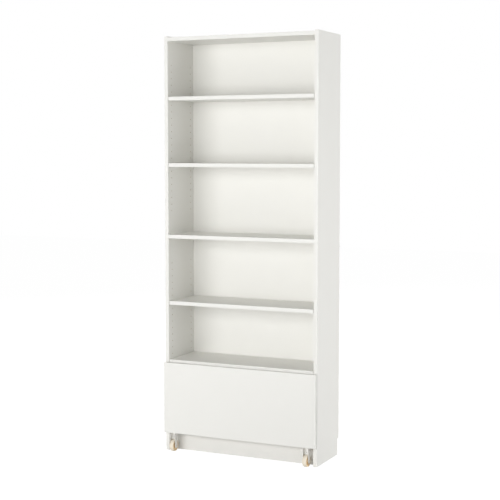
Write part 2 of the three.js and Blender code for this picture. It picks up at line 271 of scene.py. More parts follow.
def settle_mesh(piece):
    """Turns the piece, as its modifiers show it, into a plain mesh."""
    graph = bpy.context.evaluated_depsgraph_get()
    mesh = bpy.data.meshes.new_from_object(piece.evaluated_get(graph), depsgraph=graph)
    piece.modifiers.clear()
    piece.data = mesh


def new_piece(name, shape, material):
    """A piece with the mesh of a bmesh, which is used up."""
    mesh = bpy.data.meshes.new(name)
    bmesh.ops.recalc_face_normals(shape, faces=shape.faces)
    shape.to_mesh(mesh)
    shape.free()
    mesh.materials.append(material)
    piece = bpy.data.objects.new(name, mesh)
    bpy.context.collection.objects.link(piece)
    return piece


def prism(shape, outline, x0, x1):
    """Adds the closed form of an outline of (y, z) points pushed from x0 to x1."""
    ends = [[shape.verts.new((x, y, z)) for y, z in outline] for x in (x0, x1)]
    for end in ends:
        shape.faces.new(end)
    for i in range(len(outline)):
        shape.faces.new((ends[0][i - 1], ends[0][i], ends[1][i], ends[1][i - 1]))


def block(shape, low, high):
    (x0, y0, z0), (x1, y1, z1) = low, high
    prism(shape, [(y0, z0), (y1, z0), (y1, z1), (y0, z1)], x0, x1)


SAME_PLACE = 0.00001
ROUND_STEPS = 3


def lies_in(edge, axis, place):
    return all(abs(v.co[axis] - place) < SAME_PLACE for v in edge.verts)


def soften(shape, radius, *planes):
    """Rounds the edges that lie in any of the planes, each an axis and a place on it."""
    edges = [e for e in shape.edges if any(lies_in(e, *plane) for plane in planes)]
    bmesh.ops.bevel(
        shape, geom=edges, offset=radius, segments=ROUND_STEPS, profile=0.5, affect="EDGES"
    )


def carve(piece, tools):
    """Cuts the closed forms of a bmesh out of the piece."""
    cutter = new_piece("cutter", tools, raw_core)
    cut = piece.modifiers.new("cut", "BOOLEAN")
    cut.object, cut.operation, cut.solver = cutter, "DIFFERENCE", "EXACT"
    settle_mesh(piece)
    bpy.data.objects.remove(cutter)


def slot_of(piece, material):
    """The number of the piece's slot for that material, a new slot where it has none."""
    if material.name not in piece.data.materials:
        piece.data.materials.append(material)
    return piece.data.materials.find(material.name)


SKIN = 0.0005


def inner_faces(piece):
    """The faces deeper in the board than its skin, on the walls of its grooves and holes."""
    corners = [v.co for v in piece.data.vertices]
    low = [min(c[i] for c in corners) + SKIN for i in range(3)]
    high = [max(c[i] for c in corners) - SKIN for i in range(3)]
    return [
        face for face in piece.data.polygons
        if all(low[i] < face.center[i] < high[i] for i in range(3))
    ]


def show_core(piece, *planes):
    """Gives the core to faces inside the board and to those in the planes."""
    core = slot_of(piece, raw_core)
    for face in inner_faces(piece):
        face.material_index = core
    for face in piece.data.polygons:
        if any(abs(face.center[axis] - place) < SAME_PLACE for axis, place in planes):
            face.material_index = core


def middle_of(node):
    low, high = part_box(node)
    return (low + high) / 2


def fit(piece, body, slot, *nodes):
    """The piece rides on a body and stands for any CAD nodes, which are hidden. The slot is not
    used.
    """
    if nodes:
        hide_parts(*nodes)
    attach(piece, body)


X, Y, Z = 0, 1, 2
ALONG_X = (0, math.pi / 2, 0)
EDGE_ROUND = 0.0005
SKIRTING_HEIGHT = 0.080
SKIRTING_DEPTH = 0.015
GROOVE_DEPTH = 0.008
GROOVE_PLAY = 0.0003
OVERRUN = 0.008
HOLE_PITCH = 0.032
HOLES_IN_ZONE = 23
ZONE_STEP = 30 * HOLE_PITCH
HOLE_RADIUS = 0.00265
HOLE_DEPTH = 0.010
PINS_ABOVE_FIRST = 7

back_low, back_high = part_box("back_panel")
front_pin = middle_of("shelf_pin_1_left_front")
rear_pin = middle_of("shelf_pin_1_left_rear")


def bored_panel(inner, row_gap):
    """The tree that drills both rows and both zones into a side panel's inner face."""
    recipe = Recipe("pin holes", {
        "Radius": HOLE_RADIUS, "Depth": HOLE_DEPTH, "Pitch": HOLE_PITCH,
        "Holes": HOLES_IN_ZONE, "Zone Step": ZONE_STEP, "Row Step": row_gap,
        "First Hole": (inner, front_pin.y, front_pin.z - PINS_ABOVE_FIRST * HOLE_PITCH),
        "Foil": white_foil,
    })
    zone = recipe.row(recipe["Holes"], recipe.vector(0, 0, recipe["Pitch"]))
    zones = recipe.copies(recipe.row(2, recipe.vector(0, 0, recipe["Zone Step"])), zone)
    rows = recipe.copies(recipe.row(2, recipe.vector(0, recipe["Row Step"], 0)), zones)
    drill = recipe.rod(recipe["Radius"], recipe["Depth"] * 2, turn=ALONG_X)
    holes = recipe.moved(recipe.copies(rows, drill), recipe["First Hole"])
    panel = recipe.boolean("DIFFERENCE", recipe["Geometry"], holes)
    recipe.finish(panel, recipe["Foil"])
    return recipe


for side, sign in (("left", -1), ("right", 1)):
    low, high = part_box(f"side_panel_{side}")
    notch_y = high.y - SKIRTING_DEPTH
    outline = [
        (low.y, low.z), (notch_y, low.z), (notch_y, SKIRTING_HEIGHT),
        (high.y, SKIRTING_HEIGHT), (high.y, high.z), (low.y, high.z),
    ]
    shape = bmesh.new()
    prism(shape, outline, low.x, high.x)
    soften(shape, EDGE_ROUND, (Y, low.y), (Z, high.z))
    panel = new_piece(f"{side}_side", shape, white_foil)
    inner = min(low.x, high.x, key=abs)
    groove = bmesh.new()
    into = sorted((inner - sign * OVERRUN, inner + sign * GROOVE_DEPTH))
    block(
        groove,
        (into[0], back_low.y - GROOVE_PLAY, back_low.z - GROOVE_PLAY),
        (into[1], back_high.y + GROOVE_PLAY, high.z + OVERRUN),
    )
    carve(panel, groove)
    bored_panel(inner, rear_pin.y - front_pin.y).grow(panel)
    show_core(panel, (Y, high.y), (Z, low.z))
    # All faces inside the panel that lie in front of the groove are walls of pin holes.
    # The core on these walls is painted pale, which lightens the shade in the holes.
    drilled = slot_of(panel, hole_core_painted_pale)
    for face in inner_faces(panel):
        if face.center.y < back_low.y - 2 * GROOVE_PLAY:
            face.material_index = drilled
    fit(panel, "case", "white_foil", f"side_panel_{side}")

# Fixed boards: top panel, middle shelf and bottom panel, wrapped like the sides. Each is
# bored for four cam locks, from above in the top panel and from below in the others.

CAM_PLAY = 0.0003
CAMS_IN_BOARD = 4
ROUND_SIDES = 48


def cam_nodes(board):
    return [f"cam_lock_{board}_{i + 1}" for i in range(CAMS_IN_BOARD)]


def bored(shape, middle, radius, axis, length):
    """Adds a cylinder along an axis, which cuts a round hole."""
    turn = Matrix.Rotation(math.pi / 2, 4, "Y" if axis == X else "X")
    place = Matrix.Translation(middle) @ (Matrix() if axis == Z else turn)
    bmesh.ops.create_cone(
        shape, cap_ends=True, segments=ROUND_SIDES, radius1=radius, radius2=radius,
        depth=length, matrix=place,
    )


def cut_board(name, low, high, material, radius=0.0, planes=()):
    """A plain board, whose edges in the planes are rounded."""
    shape = bmesh.new()
    block(shape, low, high)
    soften(shape, radius, *planes)
    return new_piece(name, shape, material)


for name in ("top_panel", "fixed_shelf", "bottom_panel"):
    low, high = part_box(name)
    board = cut_board(f"{name}_board", low, high, white_foil, EDGE_ROUND, [(Y, low.y)])
    pockets = bmesh.new()
    for node in cam_nodes(name):
        cam_low, cam_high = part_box(node)
        radius = (cam_high.x - cam_low.x) / 2 + CAM_PLAY
        depth = cam_high.z - cam_low.z + 2 * CAM_PLAY
        bored(pockets, (cam_low + cam_high) / 2, radius, Z, depth)
    carve(board, pockets)
    show_core(board, (Y, high.y))
    fit(board, "case", "white_foil", name)

# Plinth: a foil-faced board across the toe space, under the bottom panel. It is held
# between the side panels and stands on the floor on its raw lower edge.

PLINTH_ROUND = 0.00025

low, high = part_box("plinth")
plinth = cut_board("plinth_board", low, high, white_foil, PLINTH_ROUND, [(Y, low.y)])
show_core(plinth, (Z, low.z))
fit(plinth, "case", "white_foil", "plinth")

# Back panel: 3 mm hardboard, lacquered white on the side that shows and bare brown
# behind, where the mesh of the press is stamped into it. Two scores let it fold.

LACQUER = 0.0002
WIRE_PITCH = 0.0016


def hardboard_look(name, axis, face, facing):
    """White on the face at that place, which looks along the axis or against it."""
    look = Look(name)
    bare = (face - look.part_of(axis)) * facing > LACQUER
    fibre = look.noise(0.0012, detail=4.0)
    cloud = look.noise(0.12, detail=3.0)
    brown = look.mix(fibre, (0.25, 0.155, 0.08), (0.4, 0.27, 0.155))
    white = look.mix(cloud, WHITE_DEEPER, WHITE)
    across, along = [look.part_of(i) for i in range(3) if i != axis]
    wire = 2 * math.pi / WIRE_PITCH
    screen = (across * wire).math("SINE") * (along * wire).math("SINE") * bare
    pebble = look.noise(0.0018, detail=1.0)
    return look.wear(
        Base_Color=look.mix(bare, white, brown),
        Roughness=0.45 + 0.08 * pebble + 0.3 * bare,
        Normal=look.bump(screen * 0.8 + pebble * 0.2, depth=0.00008, strength=0.5),
    )


SCORES = 2
SCORE_WIDTH = 0.0024
SCORE_DEPTH = 0.0012

back_white = hardboard_look("lacquered hardboard back", Y, back_low.y, -1)
back = cut_board("back_sheet", back_low, back_high, back_white)
scores = bmesh.new()
for i in range(SCORES):
    # The cutter stands as far out of the face as it goes in, so it is twice as wide there.
    z = back_low.z + (back_high.z - back_low.z) * (i + 1) / (SCORES + 1)
    vee = [
        (back_high.y - SCORE_DEPTH, z),
        (back_high.y + SCORE_DEPTH, z + SCORE_WIDTH),
        (back_high.y + SCORE_DEPTH, z - SCORE_WIDTH),
    ]
    prism(scores, vee, back_low.x - OVERRUN, back_high.x + OVERRUN)
carve(back, scores)
fit(back, "case", "white_hardboard", "back_panel")

# Adjustable shelves: loose boards with a short slot over each pin, open at the board's
# end, so that the pins don't show. The front edge and the ends are white, the rear raw.

SHELVES = 4
SLOT_LENGTH = 0.007
SLOT_HALF_WIDTH = 0.0028

for i in range(1, SHELVES + 1):
    low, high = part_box(f"adjustable_shelf_{i}")
    shelf = cut_board(f"shelf_{i}", low, high, white_foil, EDGE_ROUND, [(Y, low.y)])
    slots = bmesh.new()
    for sign, end in ((1, low.x), (-1, high.x)):
        for pin in (front_pin, rear_pin):
            into = sorted((end - sign * OVERRUN, end + sign * SLOT_LENGTH))
            pin_z = middle_of(f"shelf_pin_{i}_left_front").z
            block(
                slots,
                (into[0], pin.y - SLOT_HALF_WIDTH, low.z - OVERRUN),
                (into[1], pin.y + SLOT_HALF_WIDTH, pin_z + SLOT_HALF_WIDTH),
            )
    carve(shelf, slots)
    show_core(shelf, (Y, high.y))
    fit(shelf, "case", "white_foil", f"adjustable_shelf_{i}")

# Shelf pins: steel pegs turned with a thin collar, four to a shelf. Each is pushed into a
# hole of the side panel up to its collar, and the shelf rests on its outer end.


def metal_look(name, shade, darker, roughness, grain, depth, metallic=1.0):
    """Metal with marks of the grain's size, that deep, and clouds nine times as wide."""
    look = Look(name)
    marks = look.noise(grain, detail=3.0)
    cloud = look.noise(grain * 9)
    return look.wear(
        Base_Color=look.mix(cloud, darker, shade),
        Metallic=metallic,
        Roughness=roughness + 0.16 * marks,
        Normal=look.bump(marks, depth=depth, strength=0.5),
    )


PIN_RADIUS = 0.0025
PIN_IN_HOLE = 0.009
PIN_REACH = 0.008
COLLAR_RADIUS = 0.004
COLLAR_THICKNESS = 0.0012
SHARP_ANGLE = math.radians(40)

pin_steel = metal_look(
    "bright steel pins", (0.74, 0.73, 0.7), (0.6, 0.59, 0.57), 0.24, 0.0009, 0.00001
)


def cluster(name, places, recipe, material):
    """A piece with the recipe's shape at each place."""
    points = bmesh.new()
    for place in places:
        points.verts.new(place)
    piece = new_piece(name, points, material)
    recipe.grow(piece)
    piece.data.shade_smooth()
    piece.data.set_sharp_from_angle(angle=SHARP_ANGLE)
    return piece


pin_nodes = [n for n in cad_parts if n.startswith("shelf_pin_")]
pin_middles = {n: middle_of(n) for n in pin_nodes}
for side, sign in (("left", -1), ("right", 1)):
    face_x = sign * min(abs(corner.x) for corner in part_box(f"side_panel_{side}"))
    recipe = Recipe("shelf pins", {
        "Radius": PIN_RADIUS, "Inside": PIN_IN_HOLE, "Outside": PIN_REACH,
        "Collar Radius": COLLAR_RADIUS, "Collar": COLLAR_THICKNESS,
        "Facing": float(-sign), "Steel": pin_steel,
    })
    length = recipe["Inside"] + recipe["Outside"]
    peg_x = (recipe["Outside"] - recipe["Inside"]) * 0.5 * recipe["Facing"]
    peg = recipe.rod(recipe["Radius"], length, recipe.vector(peg_x, 0, 0), ALONG_X)
    collar_x = recipe.vector(recipe["Collar"] * 0.5 * recipe["Facing"], 0, 0)
    collar = recipe.rod(recipe["Collar Radius"], recipe["Collar"], collar_x, ALONG_X)
    whole = recipe.boolean("UNION", peg, collar)
    recipe.finish(recipe.copies(recipe["Geometry"], whole), recipe["Steel"])
    middles = {n: middle for n, middle in pin_middles.items() if middle.x * sign > 0}
    places = [(face_x, middle.y, middle.z) for middle in middles.values()]
    pins = cluster(f"shelf_pins_{side}", places, recipe, pin_steel)
    fit(pins, "case", "pin_steel", *middles)

# Cam locks: die-cast zinc drums that pull the fixed boards to the sides. Each shows a
# cross slot for the screwdriver in its open face.

CAM_SLOT_LENGTH = 0.009
CAM_SLOT_WIDTH = 0.0018
CAM_SLOT_DEPTH = 0.002
CAM_RIM = 0.0006

cam_zinc = metal_look(
    "die-cast zinc", (0.58, 0.58, 0.56), (0.44, 0.44, 0.43), 0.42, 0.0005, 0.00004
)
cam_low, cam_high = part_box("cam_lock_top_panel_1")
cam_radius = (cam_high.x - cam_low.x) / 2
cam_height = cam_high.z - cam_low.z


def cam_recipe(turn, height):
    """The tree that puts a drum under each point, its cross slot up, and then turns it."""
    recipe = Recipe("cam locks", {
        "Radius": cam_radius, "Height": height, "Slot Length": CAM_SLOT_LENGTH,
        "Slot Width": CAM_SLOT_WIDTH, "Slot Depth": CAM_SLOT_DEPTH, "Rim": CAM_RIM,
        "Turn": turn, "Zinc": cam_zinc,
    })
    middle = recipe.vector(0, 0, recipe["Height"] * -0.5)
    body = recipe.rod(recipe["Radius"], recipe["Height"], middle, sides=ROUND_SIDES)
    depth = recipe["Slot Depth"] * 2
    slots = recipe.cross(recipe["Slot Length"], recipe["Slot Width"], depth)
    dish_radius = recipe["Radius"] - recipe["Rim"] * 2
    dish = recipe.rod(dish_radius, recipe["Rim"], sides=ROUND_SIDES)
    lock = recipe.boolean("DIFFERENCE", body, slots, dish)
    lock = recipe.moved(lock, turn=recipe["Turn"])
    recipe.finish(recipe.copies(recipe["Geometry"], lock), recipe["Zinc"])
    return recipe


FACE_UP = (0.0, 0.0, 0.0)
FACE_DOWN = (math.pi, 0.0, 0.0)
CAM_TURNS = {"top_panel": FACE_UP, "fixed_shelf": FACE_DOWN, "bottom_panel": FACE_DOWN}
for name, turn in CAM_TURNS.items():
    places = []
    for node in cam_nodes(name):
        cam_low, cam_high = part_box(node)
        middle = (cam_low + cam_high) / 2
        places.append((middle.x, middle.y, cam_high.z if turn == FACE_UP else cam_low.z))
    locks = cluster(f"cam_locks_{name}", places, cam_recipe(turn, cam_height), cam_zinc)
    fit(locks, "case", "cam_zinc", *cam_nodes(name))

# Drawer front: one thick board laid over the edges of the case. It is edged on all four
# sides, with a groove for the drawer bottom in its rear face.

BOTTOM_PLAY = 0.0003
FRONT_ROUND = 0.001
SCREW_HOLE_RADIUS = 0.0019
SCREW_HOLE_PLAY = 0.0003

screw_nodes = [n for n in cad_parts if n.startswith("caster_screw_")]
bottom_low, bottom_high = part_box("drawer_bottom")
groove_low = bottom_low - Vector((BOTTOM_PLAY,) * 3)
groove_high = bottom_high + Vector((BOTTOM_PLAY,) * 3)
low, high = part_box("drawer_front")
faces = [(Y, low.y), (Y, high.y), (X, low.x), (X, high.x)]
front = cut_board("drawer_front_board", low, high, white_foil, FRONT_ROUND, faces)
tools = bmesh.new()
block(tools, groove_low, (groove_high.x, high.y + OVERRUN, groove_high.z))
for node in screw_nodes:
    middle = middle_of(node)
    depth = high.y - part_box(node)[0].y + SCREW_HOLE_PLAY
    bored(tools, (middle.x, high.y, middle.z), SCREW_HOLE_RADIUS, Y, 2 * depth)
carve(front, tools)
show_core(front)
fit(front, "drawer", "white_foil", "drawer_front")

# Drawer box: 12 mm foil-faced boards, with the bottom held in a groove all round. Two cam
# locks pull each side to the drawer front, and two flat-headed screws hold it to the back.

FITTING_HEIGHTS = (0.048, 0.192)
BOX_CAM_FROM_FRONT = 0.024
BOX_CAM_HEIGHT = 0.010
BOX_SCREW_LENGTH = 0.010
BOX_SCREW_DOME = 0.0006
SCREW_RADIUS = 0.0016
SCREW_HEAD_RADIUS = 0.0036
RECESS_LENGTH = 0.004
RECESS_WIDTH = 0.0009
RECESS_SHARE = 0.55
SHANK_IN_HEAD = 0.25
DOME_RINGS = 12.5

drawer_foil = foil_look("drawer foil", (0.85, 0.847, 0.805), (0.835, 0.832, 0.79))
screw_steel = metal_look(
    "zinc-plated fasteners", (0.66, 0.65, 0.61), (0.52, 0.51, 0.48), 0.28, 0.0008, 0.00002
)


def screw_recipe(shank, dome, turn):
    """The tree that puts a screw under each point, its domed head up, and then turns it."""
    cap_radius = (SCREW_HEAD_RADIUS ** 2 + dome ** 2) / (2 * dome)
    # The rings stop half a ring short of the head's rim, where the ball is cut, and the
    # ball is turned by half a side, so that its lines miss the corners of the recess.
    rings = round(DOME_RINGS * math.pi / math.asin(SCREW_HEAD_RADIUS / cap_radius))
    recipe = Recipe("screws", {
        "Shank Radius": SCREW_RADIUS, "Shank": shank, "Dome": dome, "Cap Radius": cap_radius,
        "Recess Length": RECESS_LENGTH, "Recess Width": RECESS_WIDTH,
        "Recess Depth": dome * RECESS_SHARE, "Rings": rings, "Turn": turn,
        "Steel": screw_steel,
    })
    ball = recipe.node("GeometryNodeMeshUVSphere", {}, {
        "Segments": ROUND_SIDES, "Rings": recipe["Rings"], "Radius": recipe["Cap Radius"],
    })
    low_ball = recipe.vector(0, 0, recipe["Dome"] - recipe["Cap Radius"])
    ball = recipe.moved(ball, low_ball, (0, 0, math.pi / ROUND_SIDES))
    room = recipe["Cap Radius"] * 3
    above = recipe.block(recipe.vector(room, room, room), recipe.vector(0, 0, room * 0.5))
    head = recipe.boolean("INTERSECT", ball, above)
    into_head = recipe["Dome"] * SHANK_IN_HEAD
    middle = recipe.vector(0, 0, (into_head - recipe["Shank"]) * 0.5)
    rod = recipe.rod(recipe["Shank Radius"], recipe["Shank"] + into_head, middle)
    top = recipe.vector(0, 0, recipe["Dome"])
    deep = recipe["Recess Depth"] * 2
    recess = recipe.cross(recipe["Recess Length"], recipe["Recess Width"], deep, top)
    screw = recipe.boolean("DIFFERENCE", recipe.boolean("UNION", head, rod), recess)
    screw = recipe.moved(screw, turn=recipe["Turn"])
    recipe.finish(recipe.copies(recipe["Geometry"], screw), recipe["Steel"])
    return recipe


for side, sign in (("left", -1), ("right", 1)):
    low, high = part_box(f"drawer_side_{side}")
    inner, outer = sorted((low.x, high.x), key=abs)
    name = f"drawer_side_{side}_board"
    board = cut_board(name, low, high, drawer_foil, EDGE_ROUND, [(Z, high.z)])
    tools = bmesh.new()
    block(tools, groove_low, groove_high)
    heights = [low.z + height for height in FITTING_HEIGHTS]
    cams = [(inner, low.y + BOX_CAM_FROM_FRONT, z) for z in heights]
    screws = [(outer, middle_of("drawer_back").y, z) for z in heights]
    for place in cams:
        bored(tools, place, cam_radius + CAM_PLAY, X, 2 * (BOX_CAM_HEIGHT + CAM_PLAY))
    for place in screws:
        bored(tools, place, SCREW_HOLE_RADIUS, X, 2 * (BOX_SCREW_LENGTH + SCREW_HOLE_PLAY))
    carve(board, tools)
    show_core(board, (Y, high.y))
    fit(board, "drawer", "drawer_foil", f"drawer_side_{side}")
    inwards, outwards = (0.0, -sign * math.pi / 2, 0.0), (0.0, sign * math.pi / 2, 0.0)
    locks = cluster(f"drawer_cams_{side}", cams, cam_recipe(inwards, BOX_CAM_HEIGHT), cam_zinc)
    fit(locks, "drawer", "cam_zinc")
    heads = cluster(
        f"drawer_screws_{side}", screws,
        screw_recipe(BOX_SCREW_LENGTH, BOX_SCREW_DOME, outwards), screw_steel,
    )
    fit(heads, "drawer", "screw_steel")

low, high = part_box("drawer_back")
board = cut_board("drawer_back_board", low, high, drawer_foil, EDGE_ROUND, [(Z, high.z)])
tools = bmesh.new()
block(
    tools,
    (low.x - OVERRUN, groove_low.y, groove_low.z),
    (high.x + OVERRUN, groove_high.y, groove_high.z),
)
carve(board, tools)
show_core(board, (Z, low.z))
fit(board, "drawer", "drawer_foil", "drawer_back")

bottom_white = hardboard_look("lacquered hardboard bottom", Z, bottom_high.z, 1)
sheet = cut_board("drawer_bottom_sheet", bottom_low, bottom_high, bottom_white)
fit(sheet, "drawer", "white_hardboard", "drawer_bottom")

# Glides: low discs of moulded white plastic under the rear ends of the drawer sides. The
# drawer's rear slides on them over the bottom panel.


def plastic_look(name, shade, darker, roughness=0.45):
    """Moulded plastic with soft clouds and a fine pebble."""
    look = Look(name)
    cloud = look.noise(0.008, detail=3.0)
    pebble = look.noise(0.0004, detail=2.0)
    return look.wear(
        Base_Color=look.mix(cloud, darker, shade),
        Roughness=roughness + 0.1 * pebble,
        Normal=look.bump(pebble, depth=0.00002, strength=0.5),
    )


def spun(shape, profile, sides=ROUND_SIDES, closed=False):
    """Adds the form of a profile of (radius, x) points turned about the X axis."""
    rings = []
    for radius, x in profile:
        if radius < SAME_PLACE:
            rings.append([shape.verts.new((x, 0, 0))] * sides)
            continue
        angles = [2 * math.pi * i / sides for i in range(sides)]
        rings.append([shape.verts.new((x, radius * math.cos(a), radius * math.sin(a)))
                      for a in angles])
    pairs = list(zip(rings, rings[1:]))
    if closed:
        pairs.append((rings[-1], rings[0]))
    for one, other in pairs:
        for i in range(sides):
            corners = [one[i - 1], one[i], other[i], other[i - 1]]
            shape.faces.new(list(dict.fromkeys(corners)))


EDGE_ANGLE = math.radians(35)


def round_edges(piece, width, steps=ROUND_STEPS):
    """Smooth faces with softly rounded edges."""
    piece.data.shade_smooth()
    bevel = piece.modifiers.new("soft edges", "BEVEL")
    bevel.width, bevel.segments, bevel.harden_normals = width, steps, True
    bevel.limit_method, bevel.angle_limit = "ANGLE", EDGE_ANGLE


def place_at(shape, middle, turn=None):
    """Turns a shape that was made about the origin and moves it to its place."""
    move = Matrix.Translation(middle)
    bmesh.ops.transform(shape, matrix=move @ turn if turn else move, verts=shape.verts)


GLIDE_EDGE = 0.0005
glide_white = plastic_look("glide plastic", (0.72, 0.72, 0.69), (0.68, 0.68, 0.65))
for side in ("left", "right"):
    low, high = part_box(f"drawer_glide_{side}")
    radius, thick = (high.x - low.x) / 2, high.z - low.z
    shape = bmesh.new()
    spun(shape, [(0, -thick / 2), (radius, -thick / 2), (radius, thick / 2), (0, thick / 2)])
    place_at(shape, middle_of(f"drawer_glide_{side}"), Matrix.Rotation(math.pi / 2, 4, "Y"))
    glide = new_piece(f"glide_{side}", shape, glide_white)
    round_edges(glide, GLIDE_EDGE)
    fit(glide, "drawer", "glide_plastic", f"drawer_glide_{side}")

# Casters. Tyre: a soft ring of cream rubber with a crowned tread, which is moulded by
# itself and then pressed over the rim of the hub.

CROWN = 0.0022
CROWN_STEPS = 14
TYRE_DEPTH = 0.0045
TYRE_SIDES = 96
TYRE_EDGE = 0.0004

low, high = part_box("caster_tyre_right")
caster_x = (low.x + high.x) / 2


def tyre_look(half_width):
    """Cream rubber in the middle of the tread, turning tan towards both shoulders."""
    look = Look("cream tyre")
    cloud = look.noise(0.008, detail=3.0)
    pebble = look.noise(0.0004, detail=2.0)
    aside = (look.part_of(X).math("ABSOLUTE") - caster_x).math("ABSOLUTE") * (1 / half_width)
    shoulder = aside.math("POWER", 4.0).math("MINIMUM", 1.0) * 0.8 + cloud * 0.2
    return look.wear(
        Base_Color=look.mix(shoulder, (0.9, 0.84, 0.72), (0.86, 0.69, 0.45)),
        Roughness=0.5 + 0.1 * pebble,
        Normal=look.bump(pebble, depth=0.00002, strength=0.5),
    )


tyre_cream = tyre_look((high.x - low.x) / 2)
for side in ("left", "right"):
    low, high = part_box(f"caster_tyre_{side}")
    half, radius = (high.x - low.x) / 2, (high.z - low.z) / 2
    angles = [math.pi * (i / CROWN_STEPS - 0.5) for i in range(CROWN_STEPS + 1)]
    tread = [(radius - CROWN * (1 - math.cos(a)), half * math.sin(a)) for a in angles]
    seat = radius - TYRE_DEPTH
    shape = bmesh.new()
    spun(shape, [*tread, (seat, half), (seat, -half)], TYRE_SIDES, closed=True)
    place_at(shape, middle_of(f"caster_tyre_{side}"))
    tyre = new_piece(f"tyre_{side}", shape, tyre_cream)
    round_edges(tyre, TYRE_EDGE)
    fit(tyre, f"caster_wheel_{side}", "cream_tyre", f"caster_tyre_{side}")

# Hub: a disc moulded in tan plastic, with a thin recessed web between its rim and its
# boss. The boss turns on the axle and is longer, so that the wheel stays off the legs.

RIM_THICKNESS = 0.0032
WEB_RECESS = 0.004
HUB_DRAFT = 0.001
BOSS_RADIUS = 0.008
BORE_RADIUS = 0.0033
HUB_EDGE = 0.0005

hub_tan = plastic_look("tan hub", (0.88, 0.66, 0.38), (0.82, 0.6, 0.34), 0.4)
for side in ("left", "right"):
    low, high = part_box(f"caster_hub_{side}")
    boss_half, seat = (high.x - low.x) / 2, (high.z - low.z) / 2
    tyre_low, tyre_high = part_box(f"caster_tyre_{side}")
    half = (tyre_high.x - tyre_low.x) / 2
    rim = seat - RIM_THICKNESS
    face = [
        (seat, half), (rim, half), (rim - HUB_DRAFT, half - WEB_RECESS),
        (BOSS_RADIUS + HUB_DRAFT, half - WEB_RECESS), (BOSS_RADIUS, boss_half),
        (BORE_RADIUS, boss_half),
    ]
    shape = bmesh.new()
    spun(shape, [*face, *[(r, -x) for r, x in reversed(face)]], TYRE_SIDES, closed=True)
    place_at(shape, middle_of(f"caster_hub_{side}"))
    hub = new_piece(f"hub_{side}", shape, hub_tan)
    round_edges(hub, HUB_EDGE)
    fit(hub, f"caster_wheel_{side}", "tan_hub", f"caster_hub_{side}")

# Bracket: pressed from one zinc-plated steel sheet. An upright plate behind the drawer
# front, and two legs bent forward from it that reach down to the axle.

SHEET = 0.002
LEG_REACH = 0.016
LEG_END_RADIUS = 0.013
LEG_ARC_STEPS = 24
LEG_TOP_GAP = 0.0025
WEB_WHEEL_GAP = 0.0015
BEND_RADIUS = 0.0017
BEND_STEPS = 5
SHEET_EDGE = 0.0002
PLATE_CORNER = 0.003
WEB_HOLE_RADIUS = 0.0032
WEB_HOLE_ABOVE_EDGE = 0.011
AXLE_HOLE_RADIUS = 0.0033
FLAT_ANGLE = 0.01
STEEL_SHARP_ANGLE = math.radians(50)

zinc_steel = metal_look(
    "pale zinc-plated sheet", (0.8, 0.79, 0.76), (0.73, 0.72, 0.69), 0.3, 0.0016, 0.00003, 0.5
)
front_low, front_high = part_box("drawer_front")
plate_front, plate_back = front_high.y, front_high.y + SHEET
leg_top = front_low.z - LEG_TOP_GAP
web_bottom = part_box("caster_tyre_left")[1].z + WEB_WHEEL_GAP


def cut_plate(low, high):
    """The upright plate with its two upper corners cut off."""
    shape = bmesh.new()
    block(shape, (low.x, plate_front, web_bottom), (high.x, plate_back, high.z))
    corners = [
        edge for edge in shape.edges
        if lies_in(edge, Z, high.z) and lies_in(edge, X, edge.verts[0].co.x)
    ]
    bmesh.ops.bevel(shape, geom=corners, offset=PLATE_CORNER, segments=1, affect="EDGES")
    return shape


def cut_leg(axle, x0):
    """A leg from the plate forward and down to its round end about the axle."""
    arc = [math.pi * (1 + i / LEG_ARC_STEPS) for i in range(LEG_ARC_STEPS + 1)]
    end = [(axle.y + LEG_END_RADIUS * math.cos(a), axle.z + LEG_END_RADIUS * math.sin(a))
           for a in arc]
    outline = [(plate_back, leg_top), (axle.y - LEG_REACH, leg_top), *end, (plate_back, web_bottom)]
    shape = bmesh.new()
    prism(shape, outline, x0, x0 + SHEET)
    return shape


def unite(piece, other):
    """Joins another closed piece into this one."""
    joined = piece.modifiers.new("join", "BOOLEAN")
    joined.object, joined.operation, joined.solver = other, "UNION", "EXACT"
    settle_mesh(piece)
    bpy.data.objects.remove(other)


def round_bends(bracket, low, high):
    """Rounds the two upright edges where the legs are bent out of the plate."""
    shape = bmesh.new()
    shape.from_mesh(bracket.data)
    bmesh.ops.remove_doubles(shape, verts=shape.verts, dist=SAME_PLACE)
    bmesh.ops.dissolve_limit(shape, angle_limit=FLAT_ANGLE, verts=shape.verts, edges=shape.edges)
    bends = [
        edge for edge in shape.edges
        if lies_in(edge, Y, plate_back) and (lies_in(edge, X, low.x) or lies_in(edge, X, high.x))
    ]
    bmesh.ops.bevel(
        shape, geom=bends, offset=BEND_RADIUS, segments=BEND_STEPS, profile=0.5, affect="EDGES"
    )
    shape.to_mesh(bracket.data)
    shape.free()


def punches(side, axle, width):
    """The cutters for the holes of the axle, of the plate and of its screws."""
    tools = bmesh.new()
    bored(tools, axle, AXLE_HOLE_RADIUS, X, 2 * width)
    plate_hole = Vector((axle.x, plate_front, web_bottom + WEB_HOLE_ABOVE_EDGE))
    bored(tools, plate_hole, WEB_HOLE_RADIUS, Y, 4 * SHEET)
    for node in screw_nodes:
        if side in node:
            screw = middle_of(node)
            bored(tools, (screw.x, plate_front, screw.z), SCREW_HOLE_RADIUS, Y, 4 * SHEET)
    return tools


for side in ("left", "right"):
    low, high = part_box(f"caster_bracket_{side}")
    axle = middle_of(f"caster_axle_{side}")
    bracket = new_piece(f"bracket_{side}", cut_plate(low, high), zinc_steel)
    for x0 in (low.x, high.x - SHEET):
        unite(bracket, new_piece("leg", cut_leg(axle, x0), zinc_steel))
    round_bends(bracket, low, high)
    round_edges(bracket, SHEET_EDGE, steps=2)
    carve(bracket, punches(side, axle, high.x - low.x))
    bracket.data.set_sharp_from_angle(angle=STEEL_SHARP_ANGLE)
    bracket.modifiers.new("flat faces", "WEIGHTED_NORMAL").keep_sharp = True
    fit(bracket, "drawer", "zinc_steel", f"caster_bracket_{side}")

